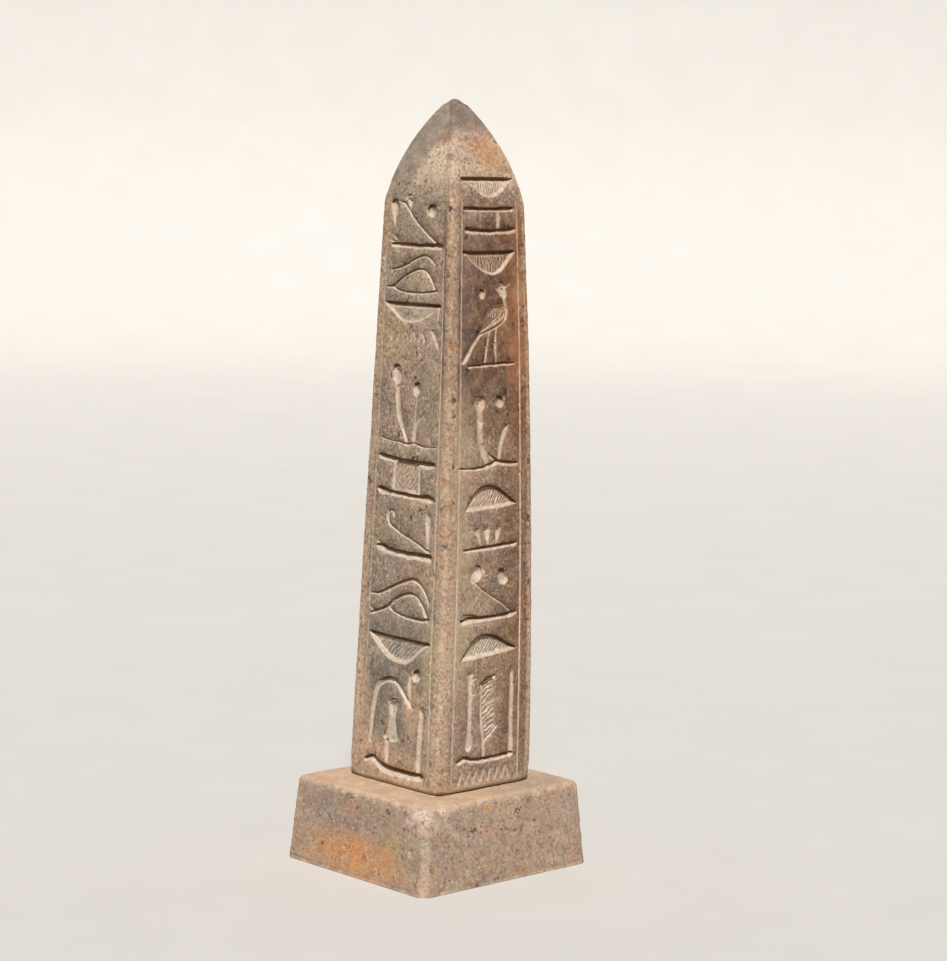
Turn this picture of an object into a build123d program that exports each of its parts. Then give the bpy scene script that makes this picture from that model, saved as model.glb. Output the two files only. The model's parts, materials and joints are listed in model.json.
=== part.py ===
"""A hand-carved stone obelisk in two pieces: a leaning, tapering four-sided shaft
with a rounded pyramidion, bedded on a battered base block.

Lengths are in millimetres. +Z is up. The origin is the middle of the base block's
underside. The shaft's front face looks along -Y and its right face along +X.
"""

from build123d import *
import os

# ---------------------------------------------------------------- driving dimensions
OVERALL_HEIGHT = 300.0  # underside of the base block to the tip

# Base block
BASE_HEIGHT = 33.6
BASE_WIDTH = 83.0  # along X, across the underside
BASE_DEPTH = 88.0  # along Y, across the underside
BASE_BATTER = 2.5  # how far each side leans in between underside and top
BASE_CORNER_RADIUS = 3.6  # upright corners
BASE_RIM_RADIUS = 2.6  # edge round the top
BASE_SOLE_RADIUS = 0.6  # edge round the underside

# Shaft, from its bed on the base up to the shoulder
FOOT_WIDTH = 52.6  # along X
FOOT_DEPTH = 50.8  # along Y
SHOULDER_WIDTH = 40.4
SHOULDER_DEPTH = 38.8
SWELLING = 1.3  # extra width and depth half way up, over a straight taper
ARRIS_RADIUS = 2.0  # the four long corners, and the ridges of the pyramidion
FOOT_RADIUS = 1.8  # worn edge round the bed

# The shaft was set by eye: off the block's middle, out of plumb and slightly bowed
SEAT_X = 0.2  # middle of the bed
SEAT_Y = 0.5
LEAN_X = 2.0  # how far the tip stands out of plumb over the bed
LEAN_Y = 0.0
BOW_X = 1.0  # how far the middle of the shaft stands off a straight lean
BOW_Y = 0.7

# Pyramidion, from the shoulder up to the tip
PYRAMIDION_HEIGHT = 40.0
PYRAMIDION_BULGE = 0.64  # 0 gives flat faces, 1 faces that leave the shaft upright
SHOULDER_RADIUS = 12.0  # softness of the turn from the shaft into the pyramidion
TIP_WIDTH = 4.2  # across the blunt tip, before its edge is rounded
TIP_RADIUS = 1.7

# ------------------------------------------------------------------ derived dimensions
SHAFT_HEIGHT = OVERALL_HEIGHT - BASE_HEIGHT  # bed to tip
SHOULDER_SHARE = 1 - PYRAMIDION_HEIGHT / SHAFT_HEIGHT  # of the way from bed to tip
SHOULDER_LEVEL = OVERALL_HEIGHT - PYRAMIDION_HEIGHT
REACH = BASE_WIDTH + BASE_DEPTH  # long enough for one outline to cross the other


def cross_outlines(front, side):
    """The stone that shows one outline along Y and the other along X."""
    stone = extrude(Plane.XZ * front, REACH, both=True)
    return stone & extrude(Plane.YZ * side, REACH, both=True)


def climbing_edges(stone):
    """The corners of the stone: every other edge runs level round it."""
    return stone.edges() - stone.edges().filter_by(Plane.XY)


def round_ends(stone, bottom_radius, top_radius):
    """Round the edges of the stone's flat underside and of its flat top."""
    underside = stone.faces().sort_by(Axis.Z)[0]
    stone = fillet(underside.edges(), bottom_radius)
    top = stone.faces().sort_by(Axis.Z)[-1]
    return fillet(top.edges(), top_radius)


def shaft_outline(foot, shoulder, seat, lean, bow):
    """The shaft seen square on to one face: across and up, with bowed sides.

    Each side is one long arc from bed to shoulder and one short arc on to the tip.
    """

    def point(share, width, side):
        middle = seat + lean * share + 4 * bow * share * (1 - share)
        return (middle + side * width / 2, BASE_HEIGHT + SHAFT_HEIGHT * share)

    waist = (foot + shoulder) / 2 + SWELLING
    # Half way up the pyramidion, on the parabola that has this bulge
    crown = shoulder - (shoulder - TIP_WIDTH) * (0.5 - PYRAMIDION_BULGE / 4)
    left, right = (
        [
            point(0, foot, side),
            point(SHOULDER_SHARE / 2, waist, side),
            point(SHOULDER_SHARE, shoulder, side),
            point((1 + SHOULDER_SHARE) / 2, crown, side),
            point(1, TIP_WIDTH, side),
        ]
        for side in (-1, 1)
    )
    outline = make_face(
        Curve()
        + [
            Line(left[0], right[0]),
            ThreePointArc(*right[0:3]),
            ThreePointArc(*right[2:5]),
            Line(right[4], left[4]),
            ThreePointArc(*left[2:5]),
            ThreePointArc(*left[0:3]),
        ]
    )
    shoulders = [v for v in outline.vertices() if abs(v.Y - SHOULDER_LEVEL) < 0.01]
    return fillet(shoulders, SHOULDER_RADIUS)


def base_outline(across):
    """The base block seen square on to one side: a trapezium on its long edge."""
    sole, top = across / 2, across / 2 - BASE_BATTER
    return make_face(
        Polyline((-sole, 0), (sole, 0), (top, BASE_HEIGHT), (-top, BASE_HEIGHT), close=True)
    )


def make_shaft():
    """Shaft and pyramidion, one stone, with its corners worn round."""
    stone = cross_outlines(
        shaft_outline(FOOT_WIDTH, SHOULDER_WIDTH, SEAT_X, LEAN_X, BOW_X),
        shaft_outline(FOOT_DEPTH, SHOULDER_DEPTH, SEAT_Y, LEAN_Y, BOW_Y),
    )
    stone = fillet(climbing_edges(stone), ARRIS_RADIUS)
    return round_ends(stone, FOOT_RADIUS, TIP_RADIUS)


def make_base():
    """Battered base block with worn edges, solid under the shaft."""
    stone = cross_outlines(base_outline(BASE_WIDTH), base_outline(BASE_DEPTH))
    stone = fillet(climbing_edges(stone), BASE_CORNER_RADIUS)
    return round_ends(stone, BASE_SOLE_RADIUS, BASE_RIM_RADIUS)


os.makedirs("parts", exist_ok=True)
for name, stone in (("shaft", make_shaft()), ("base_block", make_base())):
    export_step(stone, f"parts/{name}.step")
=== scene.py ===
import json
import math

import bpy
import numpy as np
from mathutils import Matrix, Vector, noise

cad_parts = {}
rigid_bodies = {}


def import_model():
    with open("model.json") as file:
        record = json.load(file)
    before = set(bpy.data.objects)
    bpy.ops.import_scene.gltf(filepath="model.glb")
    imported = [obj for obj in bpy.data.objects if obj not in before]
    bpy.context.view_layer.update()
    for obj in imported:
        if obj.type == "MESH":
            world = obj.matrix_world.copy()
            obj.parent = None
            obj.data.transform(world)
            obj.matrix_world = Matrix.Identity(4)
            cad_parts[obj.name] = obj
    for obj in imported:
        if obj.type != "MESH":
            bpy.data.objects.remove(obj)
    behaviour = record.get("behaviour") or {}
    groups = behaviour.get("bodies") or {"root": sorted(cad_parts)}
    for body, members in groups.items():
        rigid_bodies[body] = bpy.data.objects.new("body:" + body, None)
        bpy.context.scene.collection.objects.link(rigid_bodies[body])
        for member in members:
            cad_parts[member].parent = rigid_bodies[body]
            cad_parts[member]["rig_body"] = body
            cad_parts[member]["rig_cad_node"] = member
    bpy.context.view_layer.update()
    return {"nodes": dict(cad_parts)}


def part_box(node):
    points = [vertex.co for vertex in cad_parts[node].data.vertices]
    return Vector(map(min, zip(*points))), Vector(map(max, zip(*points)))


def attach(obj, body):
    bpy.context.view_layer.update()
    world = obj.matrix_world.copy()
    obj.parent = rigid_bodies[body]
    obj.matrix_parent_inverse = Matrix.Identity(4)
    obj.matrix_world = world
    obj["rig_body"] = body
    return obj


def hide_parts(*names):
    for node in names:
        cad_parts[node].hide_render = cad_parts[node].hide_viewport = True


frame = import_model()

bl_info = {
    "name": "Carved Stone Obelisk",
    "version": (1, 0, 0),
    "blender": (4, 5, 0),
    "location": "3D View > Sidebar > Obelisk",
    "description": "Carves and finishes a small stone obelisk on its block",
    "category": "Add Mesh",
}

MM = 0.001
SHAFT_LOW, SHAFT_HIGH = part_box("shaft")
BLOCK_LOW, BLOCK_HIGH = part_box("base_block")

CUT_SPREAD = 1.12               # a cut comes out this much wider than it is drawn
THINNEST_CUT = 0.3              # millimetres
BARED = 0.86                    # how clean a cut's stone is unless it says otherwise
PAIRS_AT_ONCE = 2_000_000       # point and path pairs that are worked in one go
NOISE_TABLE = (160, 900)        # columns across a face and rows up it
NOISE_START = -60               # millimetres, left of every face
WEIGHT_STEPS = 200
RASPED_FROM = (0.79, 0.845)     # share of the half width where the rasped corners begin, left and right
RASPED_TOP = (262 * MM, 275 * MM)
PIT_COUNT = 420
FOOT_ROUNDS = 220               # passes that rub the shaft's foot round
TIP_DROP = 0.8 * MM
TIP_RADIUS = 2.2 * MM
BLOCK_GRID = 0.62 * MM
BLOCK_SWELL = 0.6 * MM
BLOCK_TAPER = 2.5 * MM          # how far the block's sides lean in up to its top
BLOCK_KEPT = 0.55               # share of the block's triangles that stay
SEAT_REACH = 24 * MM            # half width of the flat seat under the shaft
CORNER_REACH = 17 * MM          # how far the wear of the front corner spreads
FLOOR_SIDES = 96
FLOOR_RINGS = ((0.02, 1.1), (0.1, 1.09), (0.24, 1.07), (0.44, 1.04), (2.2, 1.02))    # rise, spread
CAMERA_SIDE = 47.86             # degrees round from the front towards the right
CAMERA_TURN = -0.65             # degrees that it looks past the axis
CAMERA_DIP = 6.67               # degrees that it looks down
CAMERA_TILT = 1.11              # degrees that it leans
CAMERA_REACH = 1.0412           # from the axis
CAMERA_HEIGHT = 0.2737


# ---------------------------------------------------------------- settings


class StoneColours(bpy.types.PropertyGroup):
    olive: bpy.props.FloatVectorProperty(
        name="Olive stone", description="Ground of the front and back", subtype="COLOR",
        size=3, min=0, max=1, default=(0.31, 0.24, 0.175))
    brown: bpy.props.FloatVectorProperty(
        name="Brown stone", description="Ground of the two sides", subtype="COLOR",
        size=3, min=0, max=1, default=(0.225, 0.15, 0.11))
    slate: bpy.props.FloatVectorProperty(
        name="Blue-grey bed", description="Darker bed low on the front and back", subtype="COLOR",
        size=3, min=0, max=1, default=(0.135, 0.138, 0.122))
    pink: bpy.props.FloatVectorProperty(
        name="Rasped arris", description="Pale stone of the rasped corners", subtype="COLOR",
        size=3, min=0, max=1, default=(0.49, 0.345, 0.245))
    cream: bpy.props.FloatVectorProperty(
        name="Fresh cut", description="Pale stone bared by the chisel", subtype="COLOR",
        size=3, min=0, max=1, default=(0.63, 0.52, 0.415))
    rust: bpy.props.FloatVectorProperty(
        name="Iron stain", description="Orange and red iron stain", subtype="COLOR",
        size=3, min=0, max=1, default=(0.42, 0.155, 0.06))
    block: bpy.props.FloatVectorProperty(
        name="Block stone", description="Pinkish beige of the block", subtype="COLOR",
        size=3, min=0, max=1, default=(0.41, 0.275, 0.195))


class CarvingSizes(bpy.types.PropertyGroup):
    grid: bpy.props.FloatProperty(
        name="Carving grid", description="Spacing of the points that the carving is cut in",
        unit="LENGTH", default=0.35 * MM, min=0.2 * MM, max=2 * MM)
    deepest: bpy.props.FloatProperty(
        name="Deepest cut", description="Depth that no cut goes beyond",
        unit="LENGTH", default=1.5 * MM, min=0.2 * MM, max=3 * MM)
    triangles: bpy.props.IntProperty(
        name="Shaft triangles", description="Triangles that the carved shaft is thinned to",
        default=196000, min=20000, max=199000)
    wobble: bpy.props.FloatProperty(
        name="Hand wobble", description="How far a cut wanders from its line",
        unit="LENGTH", default=0.14 * MM, min=0, max=1 * MM)


class Wear(bpy.types.PropertyGroup):
    face_swell: bpy.props.FloatProperty(
        name="Face unevenness", description="Slow unevenness of the rubbed faces",
        unit="LENGTH", default=0.35 * MM, min=0, max=2 * MM)
    rasp_depth: bpy.props.FloatProperty(
        name="Rasp marks", description="Depth of the rasp marks on the corners",
        unit="LENGTH", default=0.32 * MM, min=0, max=2 * MM)
    corner_drop: bpy.props.FloatProperty(
        name="Worn corner", description="How far the block's front corner is worn down",
        unit="LENGTH", default=2.6 * MM, min=0, max=6 * MM)
    edge_crumble: bpy.props.FloatProperty(
        name="Crumbled edges", description="Depth of the small bites out of the block's edges",
        unit="LENGTH", default=0.8 * MM, min=0, max=3 * MM)


class StudioSizes(bpy.types.PropertyGroup):
    floor_radius: bpy.props.FloatProperty(
        name="Floor radius", description="Radius of the flat part of the floor",
        unit="LENGTH", default=2.4, min=0.5, max=20)
    key_strength: bpy.props.FloatProperty(
        name="Key light", description="Strength of the high light over the front corner",
        default=4.8, min=0, max=50)
    key_softness: bpy.props.FloatProperty(
        name="Key softness", description="How broad the high light looks from the stone",
        subtype="ANGLE", default=math.radians(5), min=0, max=3)
    back_strength: bpy.props.FloatProperty(
        name="Back light", description="Strength of the low soft light behind",
        default=1.1, min=0, max=50)
    sky_strength: bpy.props.FloatProperty(
        name="Room light", description="Strength of the light from all around",
        default=0.12, min=0, max=5)
    lens: bpy.props.FloatProperty(
        name="Lens", description="Focal length of the camera in millimetres",
        default=100.32, min=10, max=300)


def settings(group):
    """The values that the panel shows for one group."""
    return getattr(bpy.context.scene, group)


# ------------------------------------------------------- small bench helpers


def let_go():
    """Nothing selected, nothing active."""
    if bpy.context.object is not None and bpy.context.object.mode != "OBJECT":
        bpy.ops.object.mode_set(mode="OBJECT")
    for thing in bpy.context.view_layer.objects:
        thing.select_set(False)


def take_up(piece):
    """Only this piece selected and active."""
    let_go()
    piece.select_set(True)
    bpy.context.view_layer.objects.active = piece


def copy_of(node, name):
    """A merged copy of a CAD node to work on, with its own mesh."""
    take_up(frame["nodes"][node])
    bpy.ops.object.duplicate()
    piece = bpy.context.active_object
    piece.parent = None
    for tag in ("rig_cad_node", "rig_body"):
        if tag in piece:
            del piece[tag]
    piece.name = piece.data.name = name
    take_up(piece)
    bpy.ops.object.mode_set(mode="EDIT")
    bpy.ops.mesh.select_all(action="SELECT")
    bpy.ops.mesh.remove_doubles(threshold=0.001 * MM)
    bpy.ops.object.mode_set(mode="OBJECT")
    piece.data.materials.clear()
    return piece


def modify(piece, kind, **values):
    """Adds one modifier, sets it and applies it."""
    take_up(piece)
    modifier = piece.modifiers.new(kind.lower(), kind)
    for key, value in values.items():
        setattr(modifier, key, value)
    bpy.ops.object.modifier_apply(modifier=modifier.name)


def even_grid(piece, node, spacing):
    """Divides the piece evenly, then lays it back on the CAD node's surface."""
    modify(piece, "REMESH", mode="VOXEL", voxel_size=spacing)
    modify(piece, "SHRINKWRAP", target=frame["nodes"][node], wrap_method="NEAREST_SURFACEPOINT")


def points_of(piece, measure="co"):
    """A row of three numbers for each vertex: its place, or its normal."""
    flat = np.empty(len(piece.data.vertices) * 3, np.float32)
    piece.data.vertices.foreach_get(measure, flat)
    return flat.reshape(-1, 3).astype(float)


def weigh(piece, name, weights):
    """Writes a vertex group from an array of weights, in even steps."""
    group = piece.vertex_groups.new(name=name)
    steps = np.round(np.clip(weights, 0, 1) * WEIGHT_STEPS).astype(int)
    order = np.argsort(steps, kind="stable")
    edges = np.searchsorted(steps[order], np.arange(WEIGHT_STEPS + 2))
    for step in range(1, WEIGHT_STEPS + 1):
        chosen = order[edges[step]:edges[step + 1]]
        if len(chosen):
            group.add(chosen.tolist(), step / WEIGHT_STEPS, "REPLACE")


def push(piece, name, weights, strength, middle=0.0, texture=None, **values):
    """Moves the points in or out by a texture, or evenly, as far as a vertex group of this name weighs."""
    weigh(piece, name, weights)
    modify(piece, "DISPLACE", strength=strength, mid_level=middle, texture=texture, texture_coords="LOCAL",
           vertex_group=name, **values)


def paint(piece, name, values):
    """Writes a value for each point, for the stone finish to read."""
    layer = piece.data.attributes.new(name, "FLOAT", "POINT")
    layer.data.foreach_set("value", np.asarray(values, np.float32))


def soft_step(low, high, value):
    """0 up to low, 1 from high on, and a soft rise between them."""
    t = np.clip((value - low) / (high - low), 0, 1)
    return t * t * (3 - 2 * t)


def cloud(name, size, depth=2, contrast=1.0):
    """A cloudy texture for the stone's unevenness, its swells about `size` metres across."""
    texture = bpy.data.textures.new(name, "CLOUDS")
    texture.noise_scale = size
    texture.noise_depth = depth
    texture.noise_basis = "ORIGINAL_PERLIN"
    texture.contrast = contrast
    return texture


# ------------------------------------------------------------------ chisels


def drawn_path(points, step, wobble):
    """A smooth line through a few (u, z, width) points, walked in short steps."""
    p = np.array(points, float)
    if len(p) > 2:
        p = np.vstack([2 * p[0] - p[1], p, 2 * p[-1] - p[-2]])
        parts = []
        for a, b, c, d in zip(p[:-3], p[1:-2], p[2:-1], p[3:]):
            n = max(2, int(np.hypot(*(c - b)[:2]) / step) + 1)
            t = np.linspace(0, 1, n, endpoint=False)[:, None]
            parts.append(0.5 * (2 * b + (c - a) * t + (2 * a - 5 * b + 4 * c - d) * t ** 2
                                + (3 * b - a - 3 * c + d) * t ** 3))
        path = np.vstack(parts + [p[-2:-1]])
    else:
        n = max(2, int(np.hypot(*(p[1] - p[0])[:2]) / step) + 1)
        path = p[0] + (p[1] - p[0]) * np.linspace(0, 1, n)[:, None]
    path[:, 2] = np.maximum(path[:, 2], THINNEST_CUT)
    shift = [noise.noise_vector(Vector((u * 0.35, z * 0.35, 7.0))) for u, z, _ in path]
    path[:, :2] += wobble * np.array([[s.x, s.y] for s in shift])
    return path


def hand_noise(u, z, size, seed):
    """Soft uneven values from 0 to 1 whose swells are about `size` millimetres across."""
    table = np.random.default_rng(seed).random(NOISE_TABLE)
    a, b = (u - NOISE_START) / size, z / size
    i, j = np.floor(a).astype(int), np.floor(b).astype(int)
    fa, fb = soft_step(0, 1, a - i), soft_step(0, 1, b - j)
    i, j = i % (NOISE_TABLE[0] - 1), j % (NOISE_TABLE[1] - 1)
    return ((table[i, j] * (1 - fa) + table[i + 1, j] * fa) * (1 - fb)
            + (table[i, j + 1] * (1 - fa) + table[i + 1, j + 1] * fa) * fb)


class FaceCarver:
    """Collects one face's cuts in millimetres: how deep each point (u, z) lies, how clean, how much shade is
    painted on it.
    """

    def __init__(self, u, z, wobble, deepest):
        self.u, self.z = u, z
        self.depth = np.zeros(len(u))
        self.bared = np.zeros(len(u))
        self.painted_shade = np.zeros(len(u))
        self.wobble, self.deepest = wobble, deepest
        broad, fine = hand_noise(u, z, 1.3, 5), hand_noise(u, z, 0.6, 8)
        self.ragged = 1 + 0.26 * (broad - 0.5) + 0.16 * (fine - 0.5)

    def near(self, low, high, margin):
        """Points in the box from low to high, widened by a margin."""
        return np.flatnonzero(
            (self.u > low[0] - margin) & (self.u < high[0] + margin)
            & (self.z > low[1] - margin) & (self.z < high[1] + margin))

    def cut(self, *points, deep=0.5, limit=None, lip=0.5, hollow=1.5, add=False, bare=BARED, shade=0.12,
            step=0.2):
        """One stroke of a chisel along (u, z, width) points, as deep as `deep` of its width.

        The wall under its upper edge is steeper by `lip`, and `hollow` squares its floor. Shade is painted
        from `shade` of its half width below the middle upwards.
        """
        path = drawn_path(points, step, self.wobble)
        half = path[:, 2] / 2 * CUT_SPREAD
        along = np.gradient(path[:, :2], axis=0)
        upright = 1 - np.abs(along[:, 0]) / (np.hypot(*along.T) + 1e-9)
        floor = np.minimum(deep * path[:, 2], limit or self.deepest)
        at = self.near(path[:, :2].min(0), path[:, :2].max(0), half.max())
        for some in np.array_split(at, max(1, len(at) * len(path) // PAIRS_AT_ONCE + 1)):
            if not len(some):
                continue
            du = self.u[some, None] - path[None, :, 0]
            dz = self.z[some, None] - path[None, :, 1]
            r = np.hypot(du, dz) * self.ragged[some, None] + 1e-9
            reach = half[None, :] * (1 - lip * np.clip(dz / r, 0, 1))
            cuts = floor[None, :] * np.clip(1 - (r / reach) ** hollow, 0, 1)
            best = cuts.argmax(1)
            row = np.arange(len(some))
            d = cuts[row, best]
            if add:
                self.depth[some] += d
            else:
                self.depth[some] = np.maximum(self.depth[some], d)
            shown = np.clip(d / 0.12, 0, 1)
            # painted shade, from `shade` of the half width below the middle up to the upper edge
            shade_mark = 0 * d
            if shade is not None:
                beside = upright[best] * np.abs(du[row, best]) / r[row, best]
                shade_mark = shown * soft_step(-shade, 0.3 - shade, dz[row, best] / half[best] - 0.7 * beside)
            self.bared[some] = np.maximum(self.bared[some], bare * shown * (1 - 0.95 * shade_mark))
            self.painted_shade[some] = np.maximum(self.painted_shade[some], shade_mark)

    def inside(self, outline):
        """Points in an outline, how far each is from its edge, and 1 where that edge is above, -1 below."""
        p = np.array(outline, float)
        at = self.near(p.min(0), p.max(0), 0)
        u, z = self.u[at], self.z[at]
        odd = np.zeros(len(at), bool)
        gap, rise = np.full(len(at), 1e9), np.zeros(len(at))
        for (au, az), (bu, bz) in zip(p, np.roll(p, -1, 0)):
            crosses = (az > z) != (bz > z)
            with np.errstate(divide="ignore", invalid="ignore"):
                odd ^= crosses & (u < (bu - au) * (z - az) / (bz - az) + au)
            length = (bu - au) ** 2 + (bz - az) ** 2 + 1e-9
            t = np.clip(((u - au) * (bu - au) + (z - az) * (bz - az)) / length, 0, 1)
            eu, ez = au + t * (bu - au) - u, az + t * (bz - az) - z
            r = np.hypot(eu, ez) * (2 - self.ragged[at]) + 1e-9
            rise = np.where(r < gap, ez / r, rise)
            gap = np.minimum(gap, r)
        return at[odd], gap[odd], rise[odd]

    def sink(self, outline, top, foot, edge=0.4, slope=1.3, bare=0.35, shade=1.0):
        """Lowers the ground inside an outline, from depth `top` at its head to `foot` at its lowest point.

        It is steep under its upper edge, where shade is painted, and has a clean slope up to its lower one,
        whose pale bared colour is partly a painted highlight.
        """
        at, gap, rise = self.inside(outline)
        if not len(at):
            return
        z = self.z[at]
        low, high = min(q[1] for q in outline), max(q[1] for q in outline)
        floor = foot + (top - foot) * np.clip((z - low) / (high - low), 0, 1)
        under = soft_step(0.1, -0.5, rise)
        wall = edge + (slope - edge) * under
        d = floor * np.clip(gap / wall, 0, 1)
        shown = np.clip(d / 0.15, 0, 1)
        # painted shade under the upper edge
        shade_mark = shown * soft_step(0, 0.6, rise) * (1 - soft_step(0.45 * shade, shade, gap))
        self.depth[at] = np.maximum(self.depth[at], d)
        # pale lower slope: bared stone, and partly a painted highlight where it faces up
        clean = np.maximum(bare, BARED * under * (gap < wall))
        self.bared[at] = np.maximum(self.bared[at], shown * clean * (1 - shade_mark))
        self.painted_shade[at] = np.maximum(self.painted_shade[at], shade_mark)

    def hatch(self, outline, angle, pitch, width=0.6, deep=0.3, inset=0.4, bare=1.0):
        """Fine parallel strokes inside an outline, at `angle` degrees from upright."""
        at, gap, _ = self.inside(outline)
        if not len(at):
            return
        a = math.radians(angle)
        u, z = self.u[at], self.z[at]
        across = (u * math.cos(a) + z * math.sin(a) + 0.9 * pitch * hand_noise(u, z, 3.2, 3)
                  + 0.4 * pitch * hand_noise(u, z, 1.2, 4))
        off = np.abs((across / pitch) % 1 - 0.5) * pitch
        within = np.clip((gap - inset) / 0.5, 0, 1)
        stroke = np.clip(1 - off / (width / 2), 0, 1) * within * (0.55 + 0.75 * hand_noise(u, z, 1.6, 6))
        self.depth[at] += deep * stroke
        ridge = within * (1 - np.clip(stroke * 2.2, 0, 1))
        self.bared[at] = np.maximum(self.bared[at] * (1 - 0.8 * ridge), bare * np.clip(stroke * 2.2, 0, 1))

    def shade_crescent(self, u, z, width, rise=0.5):
        """Painted shade in a crescent under the head of a drop."""
        at = self.near((u, z), (u, z), width / 2)
        a, b = (self.u[at] - u) * 2 / width, (self.z[at] - z) * 2 / width
        uneven = 1 + 0.5 * (self.ragged[at] - 1)
        head = soft_step(1.0, 0.86, np.hypot(a, b) * uneven)
        crescent = soft_step(0.8, 1.0, np.hypot(a * 0.92, b + rise) * uneven)
        shade_mark = head * crescent * np.clip(self.depth[at] / 0.2, 0, 1)
        self.bared[at] *= 1 - 0.95 * shade_mark
        self.painted_shade[at] = np.maximum(self.painted_shade[at], shade_mark)

    def head(self, *points, deep=0.3, hollow=2.8):
        """A deep cut with a round head."""
        self.cut(*points, deep=deep, lip=0.12, hollow=hollow, shade=None)

    def nick(self, *points, **shape):
        """A cut with no dirt in it."""
        self.cut(*points, shade=None, **shape)

    def scribe(self, *points, bare=1.0):
        """A shallow clean line."""
        self.cut(*points, deep=0.18, lip=0, bare=bare, shade=None, step=0.3)

    def gouge(self, u, z, width, height, lean=0.0):
        """A drop: deep and round at its head, running out to the surface below."""
        self.head((u, z + height / 2 - width / 2, width), (u + lean / 2, z - 0.1 * height, 0.9 * width),
                  (u + lean, z + 0.25 * width - height / 2, 0.55 * width), deep=0.4)
        self.shade_crescent(u, z + height / 2 - 0.56 * width, 1.04 * width)

    def bar(self, *points, deep=0.62):
        """A broad straight cut, deep under its upper edge."""
        wide = ((u, z, 1.45 * width) for u, z, width in points)
        self.cut(*wide, deep=0.95 * deep, lip=0.45, hollow=1.3, shade=0.25)


def curved(points):
    """An outline drawn smoothly through a few (u, z) points."""
    return [(u, z) for u, z, _ in drawn_path([(u, z, 1) for u, z in points], 0.5, 0)]


# ---------------------------------------------------- the signs, sign by sign


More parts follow.
